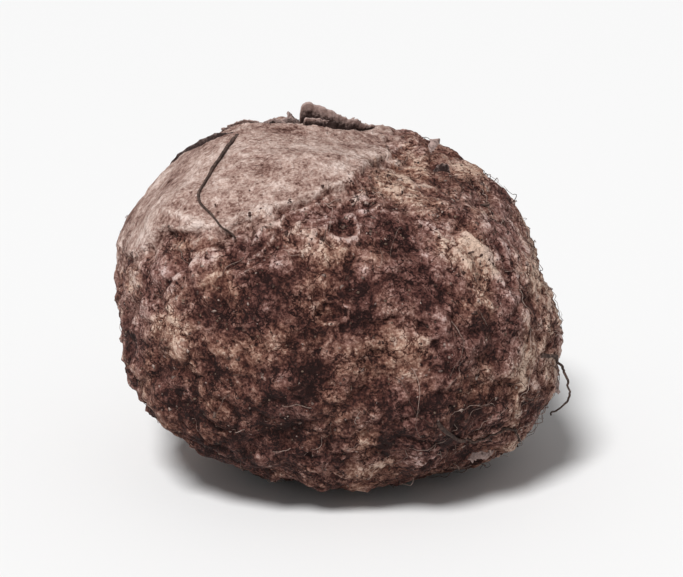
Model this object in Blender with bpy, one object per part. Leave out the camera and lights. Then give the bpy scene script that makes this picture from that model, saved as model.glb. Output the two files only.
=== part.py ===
# One whole elephant foot yam corm, a potato-like tuber, resting on its flat spot,
# with the dried rootlets and the scrap of old leaf scale that grow on it.
# Metres, +Z up. The front faces -Y, +X is to the right, and the origin is the
# bottom centre of the whole object's bounding box.

from math import cos, radians, sin

import bmesh
import bpy
import numpy as np
from mathutils import Vector

COLLECTION_NAME = "yam_corm"

# The rounded body, before its lobes.
HALF_WIDTH = 0.0620
HALF_DEPTH = 0.0590
HALF_HEIGHT = 0.0480
SQUARENESS = 2.35  # 2 gives an ellipsoid, more gives fuller shoulders
SPHERE_DIVISIONS = 5
FLAT_CUT = 0.0014  # what the resting spot takes off the underside

# Places on the body are an azimuth (0 is the front, 90 the right side) and an
# elevation, in degrees, seen from the body's centre.

# Broad lobes and dents: azimuth, elevation, height, angular width in radians.
LOBES = (
    (85, -25, 0.0040, 0.50),  # bulge low on the right
    (76, 46, -0.0066, 0.50),  # sloping right shoulder
    (90, 8, -0.0036, 0.26),  # waist above the bulge
    (-70, 58, 0.0022, 0.28),  # high left shoulder
    (-95, -22, -0.0020, 0.40),  # tucked lower left
)

# Low lumps: wave vector over the unit sphere, phase, height.
LUMPS = (
    ((7.0, 3.0, -4.0), 0.4, 0.0005),
    ((-4.0, 8.0, 3.0), 1.7, 0.0005),
    ((3.0, -5.0, 8.0), 2.9, 0.0005),
    ((9.0, -6.0, 2.0), 4.1, 0.0004),
    ((-5.0, -7.0, -8.0), 5.2, 0.0004),
)

# The crown, where the stem grew: a shallow hollow with a rim and a low bud.
CROWN_PLACE = (-150, 56)
CROWN_REACH = 0.052  # from the body's centre to the skin there
HOLLOW_RADIUS = 0.0150
HOLLOW_DEPTH = 0.0042
RIM_RADIUS = 0.0190
RIM_WIDTH = 0.0040
RIM_HEIGHT = 0.0012
BUD_RADIUS = 0.0055
BUD_HEIGHT = 0.0055

# Dried rootlets. Each route is azimuth, elevation and height over the skin.
ROOTLET_RADIUS = 0.00045
ROOTLET_TIP = 0.55  # the tip's share of the radius
ROOTLET_SPACING = 0.0024
STEPS_PER_SPAN = 12  # fine steps between two points of a route, before it is respaced
LIES = 0.0009  # height of a rootlet's centre line where it lies on the skin
ROOTLET_ROUTES = {
    "rootlet_crown_front": (
        (-87, 61, LIES), (-70, 56, LIES), (-59, 49, LIES), (-52, 42, LIES),
        (-50, 40, LIES), (-47, 38.5, LIES), (-41, 36, LIES), (-34, 33, LIES),
        (-30, 31, LIES),
    ),
    "rootlet_right_hook": (
        (60, -5, LIES), (67, -7, LIES), (71.5, -10, 0.0018), (73.5, -13, 0.0036),
        (74, -16, 0.0048), (74, -19, 0.0054), (73.5, -21, 0.0046), (73, -24, 0.0032),
    ),
    "rootlet_left_side": (
        (-112, 8, LIES), (-107, -3, 0.0014), (-100, -11, 0.0020),
        (-90, -14, 0.0016), (-82, -20, LIES),
    ),
    "rootlet_back_long": (
        (152, 36, LIES), (161, 27, 0.0018), (173, 22, 0.0026), (-174, 25, 0.0022),
        (-163, 20, 0.0016), (-158, 9, LIES), (-165, 0, LIES),
    ),
    "rootlet_back_low": (
        (128, 2, LIES), (136, -6, 0.0014), (147, -10, 0.0018), (157, -7, LIES),
        (166, -13, LIES),
    ),
    "rootlet_low_front": (
        (26, -14, LIES), (33, -21, LIES), (43, -25, 0.0012), (54, -23, LIES),
        (61, -29, LIES),
    ),
}

# The scrap of old leaf scale that stands on the crown's front rim.
SCALE_PLACE = (-145, 76)
SCALE_HEIGHT_OVER_SKIN = 0.0005
SCALE_THICKNESS = 0.0011
SCALE_LEAN = 12  # degrees backwards
SCALE_TURN = -8  # degrees about +Z
SCALE_OUTLINE = (
    (-0.0047, 0.0000), (0.0095, 0.0000), (0.0101, 0.0009), (0.0066, 0.0019),
    (0.0030, 0.0030), (0.0004, 0.0041), (-0.0016, 0.0046), (-0.0030, 0.0056),
    (-0.0044, 0.0052), (-0.0050, 0.0030),
)

SHARP_ANGLE = 40  # degrees; steeper edges than this are shaded as edges

# Each finish is a colour and a roughness.
SKIN_FINISH = ((0.16, 0.095, 0.08, 1.0), 0.90)
ROOTLET_FINISH = ((0.09, 0.055, 0.045, 1.0), 0.85)
SCALE_FINISH = ((0.07, 0.045, 0.045, 1.0), 0.85)


def clear_scene():
    for old in list(bpy.data.objects):
        bpy.data.objects.remove(old, do_unlink=True)


def make_material(name, colour, roughness):
    material = bpy.data.materials.new(name)
    material.use_nodes = True
    shader = material.node_tree.nodes["Principled BSDF"]
    shader.inputs["Base Color"].default_value = colour
    shader.inputs["Roughness"].default_value = roughness
    shader.inputs["Metallic"].default_value = 0.0
    return material


def toward(azimuth, elevation):
    """Unit vector from the body's centre to a place on the skin."""
    turn, rise = radians(azimuth), radians(elevation)
    return np.array([sin(turn) * cos(rise), -cos(turn) * cos(rise), sin(rise)])


def body_radius(directions):
    """Radius of the rounded box whose three half sizes are named above."""
    shares = np.abs(directions) / (HALF_WIDTH, HALF_DEPTH, HALF_HEIGHT)
    return (shares**SQUARENESS).sum(axis=1) ** (-1 / SQUARENESS)


def lobes(directions):
    total = np.zeros(len(directions))
    for azimuth, elevation, height, width in LOBES:
        nearness = directions @ toward(azimuth, elevation) - 1
        total += height * np.exp(nearness / width**2)
    return total


def lumps(directions):
    total = np.zeros(len(directions))
    for wave, phase, height in LUMPS:
        total += height * np.sin(directions @ np.array(wave) + phase)
    return total


def crown(directions):
    """Hollow, rim and bud, by the distance over the skin from the crown's middle."""
    angle = np.arccos(np.clip(directions @ toward(*CROWN_PLACE), -1, 1))
    distance = angle * CROWN_REACH
    hollow = HOLLOW_DEPTH * np.exp(-((distance / HOLLOW_RADIUS) ** 4))
    rim = RIM_HEIGHT * np.exp(-(((distance - RIM_RADIUS) / RIM_WIDTH) ** 2))
    bud = BUD_HEIGHT * np.exp(-((distance / BUD_RADIUS) ** 2))
    return rim + bud - hollow


def skin_radius(directions):
    return body_radius(directions) + lobes(directions) + lumps(directions) + crown(directions)


def skin_point(azimuth, elevation, height):
    direction = toward(azimuth, elevation)
    return direction * (skin_radius(direction[None])[0] + height)


def cut_flat(mesh):
    """Takes the resting spot off the underside and closes it with one flat face."""
    lowest = min(vertex.co.z for vertex in mesh.verts)
    cut = bmesh.ops.bisect_plane(
        mesh,
        geom=mesh.verts[:] + mesh.edges[:] + mesh.faces[:],
        plane_co=(0, 0, lowest + FLAT_CUT),
        plane_no=(0, 0, -1),
        clear_outer=True,
    )
    rim = [part for part in cut["geom_cut"] if isinstance(part, bmesh.types.BMEdge)]
    bmesh.ops.contextual_create(mesh, geom=rim)
    bmesh.ops.recalc_face_normals(mesh, faces=mesh.faces[:])


def make_corm(collection):
    mesh = bmesh.new()
    bmesh.ops.create_icosphere(mesh, subdivisions=SPHERE_DIVISIONS, radius=1.0)
    directions = np.array([vertex.co.normalized() for vertex in mesh.verts])
    points = directions * skin_radius(directions)[:, None]
    for vertex, point in zip(mesh.verts, points):
        vertex.co = point
    cut_flat(mesh)
    data = bpy.data.meshes.new("corm")
    mesh.to_mesh(data)
    mesh.free()
    data.shade_smooth()
    data.set_sharp_from_angle(angle=radians(SHARP_ANGLE))
    data.materials.append(make_material("corm_skin", *SKIN_FINISH))
    corm = bpy.data.objects.new("corm", data)
    collection.objects.link(corm)
    return corm


def smooth_route(points, spacing):
    """Evenly spaced points on the Catmull-Rom curve through a route's own points."""
    points = np.array(points)
    padded = np.vstack([2 * points[0] - points[1], points, 2 * points[-1] - points[-2]])
    t = np.linspace(0, 1, STEPS_PER_SPAN, endpoint=False)[:, None]
    pieces = []
    for a, b, c, d in zip(padded, padded[1:], padded[2:], padded[3:]):
        curve = 2 * b + (c - a) * t + (2 * a - 5 * b + 4 * c - d) * t**2
        pieces.append((curve + (3 * b - a - 3 * c + d) * t**3) / 2)
    fine = np.vstack(pieces + [points[-1:]])
    run = np.append(0, np.cumsum(np.linalg.norm(np.diff(fine, axis=0), axis=1)))
    count = int(round(run[-1] / spacing)) + 1
    stations = np.linspace(0, run[-1], count)
    return np.stack([np.interp(stations, run, axis) for axis in fine.T], axis=1)


def make_rootlet(name, route, collection):
    points = smooth_route([skin_point(*place) for place in route], ROOTLET_SPACING)
    data = bpy.data.curves.new(name, "CURVE")
    data.dimensions = "3D"
    data.bevel_depth = ROOTLET_RADIUS
    data.bevel_resolution = 2
    data.use_fill_caps = True
    spline = data.splines.new("POLY")
    spline.points.add(len(points) - 1)
    taper = np.linspace(1, ROOTLET_TIP, len(points))
    for station, point, share in zip(spline.points, points, taper):
        station.co = (*point, 1)
        station.radius = share
    data.materials.append(make_material(name, *ROOTLET_FINISH))
    rootlet = bpy.data.objects.new(name, data)
    collection.objects.link(rootlet)
    return rootlet


def make_crown_scale(collection):
    """A ragged upright plate: what is left of the leaf scale on the crown's rim."""
    data = bpy.data.curves.new("crown_scale", "CURVE")
    data.dimensions = "2D"
    data.fill_mode = "BOTH"
    data.extrude = SCALE_THICKNESS / 2
    spline = data.splines.new("POLY")
    spline.points.add(len(SCALE_OUTLINE) - 1)
    for station, (across, up) in zip(spline.points, SCALE_OUTLINE):
        station.co = (across, up, 0, 1)
    spline.use_cyclic_u = True
    data.materials.append(make_material("crown_scale", *SCALE_FINISH))
    scale = bpy.data.objects.new("crown_scale", data)
    scale.location = skin_point(*SCALE_PLACE, SCALE_HEIGHT_OVER_SKIN)
    scale.rotation_euler = (radians(90 - SCALE_LEAN), 0, radians(SCALE_TURN))
    collection.objects.link(scale)
    return scale


def stand_on_origin(parts):
    """Moves all the parts so that the bottom centre of their common box is the origin."""
    bpy.context.view_layer.update()
    graph = bpy.context.evaluated_depsgraph_get()
    corners = []
    for part in parts:
        evaluated = part.evaluated_get(graph)
        mesh = evaluated.to_mesh()
        corners += [evaluated.matrix_world @ vertex.co for vertex in mesh.vertices]
        evaluated.to_mesh_clear()
    corners = np.array(corners)
    low, high = corners.min(axis=0), corners.max(axis=0)
    middle = (low + high) / 2
    for part in parts:
        part.location -= Vector((middle[0], middle[1], low[2]))


def main():
    clear_scene()
    collection = bpy.data.collections.new(COLLECTION_NAME)
    bpy.context.scene.collection.children.link(collection)
    parts = [make_corm(collection), make_crown_scale(collection)]
    for name, route in ROOTLET_ROUTES.items():
        parts.append(make_rootlet(name, route, collection))
    stand_on_origin(parts)


main()
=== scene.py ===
# Elephant foot yam corm: the finished surface, dried roots, scales and soil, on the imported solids.
import itertools
from math import pi

import bpy
import numpy as np
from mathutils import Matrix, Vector


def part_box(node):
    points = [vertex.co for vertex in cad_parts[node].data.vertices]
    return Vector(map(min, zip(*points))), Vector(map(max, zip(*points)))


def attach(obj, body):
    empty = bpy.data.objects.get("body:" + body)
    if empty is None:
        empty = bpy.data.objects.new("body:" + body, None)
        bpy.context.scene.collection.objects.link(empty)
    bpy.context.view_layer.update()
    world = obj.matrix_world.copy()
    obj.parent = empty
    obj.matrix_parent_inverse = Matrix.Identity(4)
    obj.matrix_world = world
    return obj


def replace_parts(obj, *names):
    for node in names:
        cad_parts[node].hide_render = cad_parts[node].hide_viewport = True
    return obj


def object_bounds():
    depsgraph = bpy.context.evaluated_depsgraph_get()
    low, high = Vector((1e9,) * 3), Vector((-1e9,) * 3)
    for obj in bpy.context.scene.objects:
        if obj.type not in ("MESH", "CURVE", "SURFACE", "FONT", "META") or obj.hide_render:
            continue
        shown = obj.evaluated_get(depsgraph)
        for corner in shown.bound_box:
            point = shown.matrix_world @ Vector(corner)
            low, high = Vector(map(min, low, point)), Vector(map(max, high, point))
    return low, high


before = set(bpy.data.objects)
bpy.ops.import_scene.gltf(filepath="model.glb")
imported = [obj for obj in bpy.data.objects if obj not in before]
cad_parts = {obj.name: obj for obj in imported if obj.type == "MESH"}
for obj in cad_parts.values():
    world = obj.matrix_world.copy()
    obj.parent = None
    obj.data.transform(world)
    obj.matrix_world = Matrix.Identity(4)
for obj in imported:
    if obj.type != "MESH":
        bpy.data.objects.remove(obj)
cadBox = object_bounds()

# Places on the corm are an azimuth (0 front, 90 right side) and an elevation, in degrees, seen
# from the middle of the body. Lengths are metres.

# ---- shared arithmetic


def toward(azimuth, elevation):  # unit vector from the middle of the body to a place on the skin
    turn, rise = np.radians(azimuth), np.radians(elevation)
    across = np.sin(turn) * np.cos(rise)
    return np.stack([across, -np.cos(turn) * np.cos(rise), np.sin(rise)], -1)


def blend(low, high, x):  # 0 at low and before, 1 at high and past it, an S curve between
    t = np.clip((x - low) / (high - low), 0, 1)
    return t * t * (3 - 2 * t)


def bell(x, width):
    return np.exp(-((x / width) ** 2))


def near(directions, azimuth, elevation, width):  # 1 at a place, falling off over width radians
    return np.exp((directions @ toward(azimuth, elevation) - 1) / width**2)


def unit(vectors):
    return vectors / np.linalg.norm(vectors, axis=-1, keepdims=True)


def frames(normals, turns):  # two directions across each normal, turned by an angle each
    helper = np.where(np.abs(normals[:, 2:]) < 0.9, (0.0, 0.0, 1.0), (1.0, 0.0, 0.0))
    first = unit(np.cross(helper, normals))
    second = np.cross(normals, first)
    c, s = np.cos(turns)[:, None], np.sin(turns)[:, None]
    return c * first + s * second, c * second - s * first


def cellNumber(cells, salt):  # a fixed number from 0 to 1 for each whole-number cell
    x, y, z = (cells[..., k].astype(np.int64).astype(np.uint32) for k in range(3))
    mixed = x * np.uint32(374761393) + y * np.uint32(668265263) + z * np.uint32(2246822519)
    mixed = mixed + np.uint32(salt * 97 + 13) * np.uint32(3266489917)
    mixed = (mixed ^ (mixed >> np.uint32(15))) * np.uint32(2246822519)
    mixed = (mixed ^ (mixed >> np.uint32(13))) * np.uint32(3266489917)
    return (mixed ^ (mixed >> np.uint32(16))) / 4294967295.0


def cellVector(cells, salt):  # three such numbers for each cell
    return np.stack([cellNumber(cells, salt + 31 * k) for k in range(3)], -1)


def noise(points, size, salt):
    # gradient noise, about -1 to 1: a random slope at each corner of a grid of this size,
    # blended by 6t^5 - 15t^4 + 10t^3 across each cell
    scaled = points / size
    cell = np.floor(scaled)
    part = scaled - cell
    fade = part**3 * (part * (part * 6 - 15) + 10)
    total = np.zeros(len(points))
    for corner in itertools.product((0, 1), repeat=3):
        where = cell + corner
        slope = cellVector(where, salt) * 2 - 1
        weight = np.where(corner, fade, 1 - fade).prod(-1)
        total += weight * (slope * (part - corner)).sum(-1)
    return total * 1.6


def layered(points, size, salt, layers=3):  # noise on noise, each layer half the size and height
    return sum(noise(points, size / 2**k, salt + k) / 2**k for k in range(layers))


def noiseVector(points, size, salt):  # three unlike noises as one vector for each point
    return np.stack([noise(points, size, salt + k) for k in range(3)], 1)


def cellular(points, size, salt):
    # one random spot in each grid cell: distance to the nearest, gap to the second, its own number
    scaled = points / size
    cell = np.floor(scaled)
    first = np.full(len(points), 9.0)
    second = first.copy()
    own = np.zeros(len(points))
    for step in itertools.product((-1, 0, 1), repeat=3):
        where = cell + step
        spot = where + cellVector(where, salt)
        reach = np.linalg.norm(spot - scaled, axis=1)
        closer = reach < first
        second = np.where(closer, first, np.minimum(second, reach))
        own = np.where(closer, cellNumber(where, salt + 101), own)
        first = np.where(closer, reach, first)
    return first, second - first, own


# ---- the body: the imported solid's own formula

body = {
    "halfSizes": (0.0620, 0.0590, 0.0480),
    "squareness": 2.35,
    "flatCut": 0.0014,
    "reach": 0.054,  # from the middle to the skin, on average
    "lobes": (  # azimuth, elevation, height, angular width
        (85, -25, 0.0040, 0.50),
        (76, 46, -0.0066, 0.50),
        (90, 8, -0.0036, 0.26),
        (-70, 58, 0.0022, 0.28),
        (-95, -22, -0.0020, 0.40),
    ),
    "lumps": (  # wave vector over the unit sphere, phase, height
        ((7.0, 3.0, -4.0), 0.4, 0.0005),
        ((-4.0, 8.0, 3.0), 1.7, 0.0005),
        ((3.0, -5.0, 8.0), 2.9, 0.0005),
        ((9.0, -6.0, 2.0), 4.1, 0.0004),
        ((-5.0, -7.0, -8.0), 5.2, 0.0004),
    ),
}
crown = {
    "place": (-150, 56),
    "reach": 0.052,
    "hollow": (0.0150, 0.0042),  # radius, depth
    "rim": (0.0190, 0.0040, 0.0012),  # radius, width, height
    "bud": (0.0055, 0.0055),  # radius, height
}


def crownRun(directions):  # distance over the skin from the crown's middle
    angle = np.arccos(np.clip(directions @ toward(*crown["place"]), -1, 1))
    return angle * crown["reach"]


def bodyRadius(directions):
    # a rounded box's radius, plus broad lobes, low waves, and the crown's hollow, rim and bud
    shares = np.abs(directions) / body["halfSizes"]
    radius = (shares ** body["squareness"]).sum(-1) ** (-1 / body["squareness"])
    for azimuth, elevation, height, width in body["lobes"]:
        radius = radius + height * near(directions, azimuth, elevation, width)
    for wave, phase, height in body["lumps"]:
        radius = radius + height * np.sin(directions @ np.array(wave) + phase)
    run = crownRun(directions)
    hollowRadius, depth = crown["hollow"]
    rimRadius, rimWidth, rimHeight = crown["rim"]
    budRadius, budHeight = crown["bud"]
    radius = radius - depth * np.exp(-((run / hollowRadius) ** 4))
    radius = radius + rimHeight * bell(run - rimRadius, rimWidth)
    return radius + budHeight * bell(run, budRadius)


# ---- the skin: everything finer than the solid

skinDetail = {
    "bareCaps": ((-95, 62, 47), (-150, 56, 37)),  # azimuth, elevation, angular radius in degrees
    "edgeWobble": ((0.019, 0.0048, 11), (0.006, 0.0022, 12)),  # size, height, salt
    "ledge": 0.0011,  # how far the bare crown skin stands over the bark at its front edge
    "lip": 0.0006,  # the ledge's raised rim
    "groove": 0.0008,  # the dark line under the ledge
    "edgeCords": (0.0036, 0.0012),  # spacing and height of the cords that follow the ledge
    "scar": (0.00105, 0.00050, 0.00050),  # height of its rim, depth of its floor, height of its middle
    "lumps": (0.015, 0.0018),  # size, height
    "creases": (0.0105, 0.0012),
    "warts": (0.0056, 0.0004),
    "grit": (0.0018, 0.00014),
    "pits": (0.0050, 0.0005),
    "fibres": (15, 3.2, 0.0009),  # strips round the crown axis, cells down it, height
    "fibrous": (  # azimuth, elevation, angular width, strength of the places with such fibres
        (82, -6, 0.42, 1.0), (-150, -18, 0.40, 0.7), (30, -38, 0.35, 0.7), (135, 5, 0.35, 0.5)),
    "crownRings": (0.0040, 0.0005),  # spacing, height
}

# Ring-shaped scars that the shed roots left: azimuth, elevation, radius, strength, flatness.
frontScars = (
    (3, 38, 0.0040, 1.1, 0.95), (-1, 15, 0.0046, 1.2, 0.62), (24, 10, 0.0034, 0.9, 0.8),
    (31, 32, 0.0038, 0.8, 1.3), (-45, 22, 0.0042, 0.5, 0.9), (-41, 13, 0.0030, 0.7, 1.4),
    (45, 19, 0.0032, 0.4, 1.3), (4, 33, 0.0022, 0.7, 0.8), (-5, 7, 0.0026, 0.6, 0.8),
    (24, 51, 0.0036, 0.35, 0.7), (13, -4, 0.0034, 0.5, 0.75), (-21, 26, 0.0026, 0.6, 0.8),
    (38, -6, 0.0032, 0.5, 0.9), (-31, -13, 0.0028, 0.4, 0.8), (8, -19, 0.0034, 0.4, 0.7),
    (64, 5, 0.0034, 0.45, 1.1), (-64, 5, 0.0034, 0.35, 1.2), (-5, 20, 0.0018, 0.7, 0.9),
    (42, 26, 0.0030, 0.4, 0.8), (-11, -3, 0.0030, 0.5, 0.8),
)
otherScars = {"count": 64, "radius": (0.0020, 0.0044), "apart": 13}  # degrees between scars
crescents = {"count": 150, "radius": (0.0010, 0.0020)}  # small broken rings between them

# Raised dry cords on the skin: two places, width, height.
raisedCords = (
    ((45, 31), (50, 10), 0.0009, 0.0008),
    ((52, 36), (63, 14), 0.0008, 0.0006),
    ((66, 20), (74, -12), 0.0008, 0.0006),
    ((-60, 33), (-33, 31), 0.0008, 0.0006),
    ((8, 44), (34, 40), 0.0008, 0.0005),
    ((-150, 20), (-138, -12), 0.0009, 0.0007),
    ((140, 18), (128, -14), 0.0009, 0.0007),
)


def edgeRun(directions, points):
    # distance outside the edge of the bare crown skin, negative within: the nearer of two round
    # caps, with a ragged wobble
    runs = []
    for azimuth, elevation, radius in skinDetail["bareCaps"]:
        angle = np.arccos(np.clip(directions @ toward(azimuth, elevation), -1, 1))
        runs.append((angle - np.radians(radius)) * body["reach"])
    run = np.minimum(*runs)
    for size, height, salt in skinDetail["edgeWobble"]:
        run = run + height * noise(points, size, salt)
    return run


def spiral(count, jitter, draw):  # evenly spread directions, each moved a little
    height = 1 - 2 * (np.arange(count) + 0.5) / count
    turn = np.arange(count) * pi * (3 - 5**0.5)
    flat = np.sqrt(1 - height**2)
    spots = np.stack([flat * np.cos(turn), flat * np.sin(turn), height], 1)
    return unit(spots + draw.normal(0, jitter, (count, 3)))


def spreadScars():
    # scars over the rest of the skin, clear of one another, of the bare crown skin and of the
    # resting spot, then small broken rings; each is its place, radius, strength, flatness, turn
    # and how much of its ring is missing
    draw = np.random.default_rng(7)
    kept = [(toward(a, e), r, s, flat, 0.0, 0.25) for a, e, r, s, flat in frontScars]
    clear = np.cos(np.radians(otherScars["apart"]))
    spots = spiral(otherScars["count"], 0.10, draw)
    bare = edgeRun(spots, spots * body["reach"]) < 0.004
    for spot, inBare in zip(spots, bare):
        size, strength = draw.uniform(*otherScars["radius"]), draw.uniform(0.25, 0.9)
        flat, turn, gap = draw.uniform(0.6, 1.3), draw.uniform(0, pi), draw.uniform(0.1, 0.6)
        if not inBare and spot[2] > -0.78 and max(spot @ other[0] for other in kept) < clear:
            kept.append((spot, size, strength, flat, turn, gap))
    spots = spiral(crescents["count"], 0.07, draw)
    bare = edgeRun(spots, spots * body["reach"]) < 0.001
    for spot, inBare in zip(spots, bare):
        size, strength = draw.uniform(*crescents["radius"]), draw.uniform(0.3, 0.8)
        turn, gap = draw.uniform(0, 2 * pi), draw.uniform(0.5, 1.1)
        if not inBare and spot[2] > -0.8:
            kept.append((spot, size, strength, 0.9, turn, gap))
    return kept


def scarRelief(directions, points, scars):
    # each scar is a ring: a raised rim, a shallow floor and a small raised middle, as bells over
    # the distance from its middle divided by its radius; one side of the rim fades out
    rimHeight, floorDepth, coreHeight = skinDetail["scar"]
    height = np.zeros(len(points))
    ring = np.zeros(len(points))
    wobble = 0.16 * noise(points, 0.0022, 21) + 0.12 * noise(points, 0.0055, 22)
    broken = np.clip(0.70 + 0.75 * noise(points, 0.0026, 23), 0, 1.3)
    for spot, radius, strength, flat, turn, gap in scars:
        close = directions @ spot > 0.975
        across, along = (v[0] for v in frames(spot[None], np.array([turn])))
        x = directions[close] @ across * body["reach"] / radius
        y = directions[close] @ along * body["reach"] / radius / flat
        share = np.hypot(x, y) * (1 + wobble[close]) + 1e-6
        side = 1 - gap * blend(-0.2, 0.9, y / share)
        rim = bell(share - 1, 0.17) * broken[close] * side
        floor = blend(0.95, 0.6, share)
        core = bell(share, 0.28) * (radius > crescents["radius"][1] + 0.0001)
        height[close] += strength * (rimHeight * rim - floorDepth * floor + coreHeight * core)
        ring[close] += strength * (rim + 0.30 * core)
    return height, np.clip(ring, 0, 1)


def cordRelief(directions, points):
    # a cord is a bell over the distance to the great-circle line between its two places
    total = np.zeros(len(points))
    sway = 0.0012 * noise(points, 0.008, 24)
    for start, end, width, height in raisedCords:
        a, b = toward(*start), toward(*end)
        pole = unit(np.cross(a, b))
        offset = np.arcsin(np.clip(directions @ pole, -1, 1)) * body["reach"] + sway
        halfway = unit(a + b)
        half = np.arccos(a @ b) / 2
        angle = np.arccos(np.clip(directions @ halfway, -1, 1))
        total += height * bell(offset, width) * blend(half * 1.1, half * 0.75, angle)
    return total


def fibreRelief(directions):
    # ridges that run away from the crown: noise on coordinates stretched along its meridians
    axis = toward(*crown["place"])
    side = unit(np.cross(axis, (0, 0, 1)))
    front = np.cross(side, axis)
    fall = np.arccos(np.clip(directions @ axis, -1, 1))
    turn = np.arctan2(directions @ front, directions @ side)
    strips, cells, height = skinDetail["fibres"]
    bend = turn + 0.12 * noise(directions, 0.35, 25)
    stretched = np.stack([np.cos(bend) * strips, np.sin(bend) * strips, fall * cells], -1)
    ridge = (1 - np.abs(noise(stretched, 1.0, 26))) ** 5
    fine = (1 - np.abs(noise(stretched * (2.3, 2.3, 1.4), 1.0, 27))) ** 5
    places = skinDetail["fibrous"]
    where = sum(share * near(directions, az, el, width) for az, el, width, share in places)
    where = np.clip(where, 0, 1) * blend(0.25, 0.5, np.sin(fall))
    return height * where * (ridge + 0.5 * fine), where


def skin(directions, scars):
    # the body's radius plus all the relief, with the masks that the finish reads
    base = bodyRadius(directions)
    points = directions * base[:, None]
    edge = edgeRun(directions, points)
    bare = blend(0.0005, -0.0005, edge)
    bark = 1 - bare
    detail = skinDetail
    size, height = detail["lumps"]
    broad = height * layered(points, size, 1) * (0.45 + 0.55 * bark)

    size, height = detail["creases"]
    crease = -height * (1 - np.abs(noise(points, size, 4))) ** 6
    crease = crease - 0.6 * height * (1 - np.abs(noise(points, size * 0.45, 5))) ** 6
    size, height = detail["warts"]
    reach, gap, own = cellular(points, size, 6)
    wart = height * blend(0.62, 0.10, reach) * own**1.5 - 0.4 * height * blend(0.14, 0.0, gap)
    size, height = detail["grit"]
    grit = height * (noise(points, size, 8) + 0.6 * noise(points, size * 0.55, 9))
    size, height = detail["pits"]
    reach, _, own = cellular(points, size, 10)
    pit = -height * bell(reach, 0.20) * (own > 0.45)

    fibre, fibreWhere = fibreRelief(directions)
    ring, ringMask = scarRelief(directions, points, scars)
    cord = cordRelief(directions, points)

    # the bare crown skin ends in a low ledge, with a lip, a groove and cords that follow it
    strong = 0.35 + 0.65 * near(directions, -12, 38, 0.55)
    ledge = detail["ledge"] * strong * blend(0.0009, -0.0012, edge)
    lip = detail["lip"] * strong * bell(edge + 0.0012, 0.0010)
    groove = -detail["groove"] * strong * bell(edge - 0.0014, 0.0009)
    window = blend(0.0010, 0.0030, edge) * blend(0.0170, 0.0100, edge)
    window = window * near(directions, -14, 32, 0.40)
    spacing, height = detail["edgeCords"]
    swing = (edge + 0.0022 * noise(points, 0.011, 13)) / spacing
    follow = height * window * (1 - np.abs(np.sin(pi * swing))) ** 1.6
    spacing, height = detail["crownRings"]
    run = crownRun(directions)
    rings = (1 - np.abs(np.sin(pi * (run + 0.0010 * noise(points, 0.006, 14)) / spacing))) ** 3
    rings = height * rings * blend(0.012, 0.016, run) * blend(0.036, 0.026, run)

    rough = bark + 0.22 * bare
    fine = rough * (crease + wart + pit) + (0.55 + 0.45 * bark) * grit
    fine = fine + bark * (fibre + ring) + cord + follow + lip + groove + bare * rings
    return {
        "radius": base + broad + ledge + fine,
        "bare": blend(0.0085, -0.0060, edge + 0.0050 * layered(points, 0.009, 15)),
        # the fine relief, which the skin's material also turns into painted shade in hollows and
        # painted highlight on raised bits
        "relief": np.clip(fine / 0.0008, -1, 1),
        "ring": np.clip(ringMask * bark + (cord + 0.8 * follow + 0.7 * fibre) / 0.0011, 0, 1),
        "fibre": np.clip(fibreWhere * bark + window, 0, 1),
        "edge": edge,
    }


def placeOnFloor():
    # the shift from the middle of the body to the frame: the flat spot on the floor, and the
    # body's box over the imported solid's box
    height = np.linspace(-1, 1, 401)
    turn = np.linspace(-pi, pi, 720, endpoint=False)
    height, turn = (grid.ravel() for grid in np.meshgrid(height, turn))
    flat = np.sqrt(1 - height**2)
    directions = np.stack([flat * np.cos(turn), flat * np.sin(turn), height], 1)
    points = directions * bodyRadius(directions)[:, None]
    low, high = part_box("corm")
    shift = (np.array(low) + np.array(high)) / 2 - (points.min(0) + points.max(0)) / 2
    shift[2] = -(points[:, 2].min() + body["flatCut"])
    return shift


middle = placeOnFloor()
scars = spreadScars()
print(f"skin formula ready: {len(scars)} root scars, middle at {np.round(middle, 4)}")


def onSkin(directions, lift=0.0):  # places on the finished skin, raised by lift, in the frame
    shape = directions.shape
    flat = directions.reshape(-1, 3)
    radius = skin(flat, scars)["radius"].reshape(shape[:-1])
    points = directions * (radius + lift)[..., None] + middle
    points[..., 2] = np.maximum(points[..., 2], 0)
    return points


# ---- making pieces

objectCollection = bpy.data.collections.new("yam_corm_looks")
bpy.context.scene.collection.children.link(objectCollection)


def addPiece(name, points, faces, material, uvs=None, masks=None):
    # faces is a list of whole-number arrays, each with three or four corners a face
    mesh = bpy.data.meshes.new(name)
    mesh.from_pydata(points.tolist(), [], [face for group in faces for face in group.tolist()])
    mesh.shade_smooth()
    for maskName, values in (masks or {}).items():
        layer = mesh.attributes.new(maskName, "FLOAT", "POINT")
        layer.data.foreach_set("value", values.astype(np.float32))
    if uvs is not None:
        layer = mesh.uv_layers.new(name="OFBake")
        layer.uv.foreach_set("vector", uvs.astype(np.float32).ravel())
    mesh.materials.append(material)
    mesh.update()
    piece = bpy.data.objects.new(name, mesh)
    objectCollection.objects.link(piece)
    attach(piece, "root")
    return piece


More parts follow.
